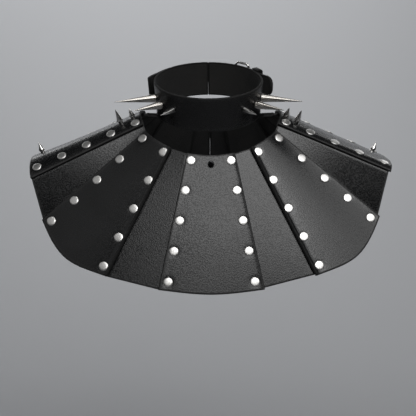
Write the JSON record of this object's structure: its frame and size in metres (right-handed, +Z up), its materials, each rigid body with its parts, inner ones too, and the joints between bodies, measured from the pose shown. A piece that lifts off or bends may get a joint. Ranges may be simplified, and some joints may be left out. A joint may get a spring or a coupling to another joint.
{
  "type": "leather gorget",
  "caption": "Leather armour for neck and shoulders: a mantle of overlapping riveted panels with small shoulder spikes, and a neck collar with long side spikes and a closing strap.",
  "frame": {"origin": "middle of the mantle's neck opening, level with the two places where the mantle bears on the shoulders", "axes": "+Z up, -Y the way the wearer faces, +X towards the wearer's left shoulder"},
  "size_m": [0.3894, 0.2349, 0.2229],
  "materials": {
    "black_leather": "satin, fine grain, burnished edges",
    "black_strap_leather": "satin, fine grain, burnished edges",
    "polished_nickel": "polished",
    "dark_nickel": "polished, dark"
  },
  "bodies": {
    "root": {"back_buckle_lower": "polished_nickel", "back_buckle_upper": "polished_nickel", "back_gusset_l": "black_leather", "back_gusset_r": "black_leather", "back_panel_l": "black_leather", "back_panel_r": "black_leather", "back_side_panel_l": "black_leather", "back_side_panel_r": "black_leather", "back_strap_lower": "black_strap_leather", "back_strap_upper": "black_strap_leather", "collar_band": "black_strap_leather", "collar_buckle": "polished_nickel", "collar_keeper": "black_strap_leather", "collar_spike_front_l": "polished_nickel", "collar_spike_front_r": "polished_nickel", "collar_spike_middle_l": "polished_nickel", "collar_spike_middle_r": "polished_nickel", "collar_spike_rear_l": "polished_nickel", "collar_spike_rear_r": "polished_nickel", "collar_strap": "black_strap_leather", "front_gusset_l": "black_leather", "front_gusset_r": "black_leather", "front_panel": "black_leather", "front_spike": "dark_nickel", "shoulder_back_gusset_l": "black_leather", "shoulder_back_gusset_r": "black_leather", "shoulder_front_gusset_l": "black_leather", "shoulder_front_gusset_r": "black_leather", "shoulder_panel_l": "black_leather", "shoulder_panel_r": "black_leather", "shoulder_spike_inner_l": "polished_nickel", "shoulder_spike_inner_r": "polished_nickel", "shoulder_spike_neck_l": "polished_nickel", "shoulder_spike_neck_r": "polished_nickel", "shoulder_spike_outer_l": "polished_nickel", "shoulder_spike_outer_r": "polished_nickel", "side_panel_l": "black_leather", "side_panel_r": "black_leather"}
  },
  "joints": []
}
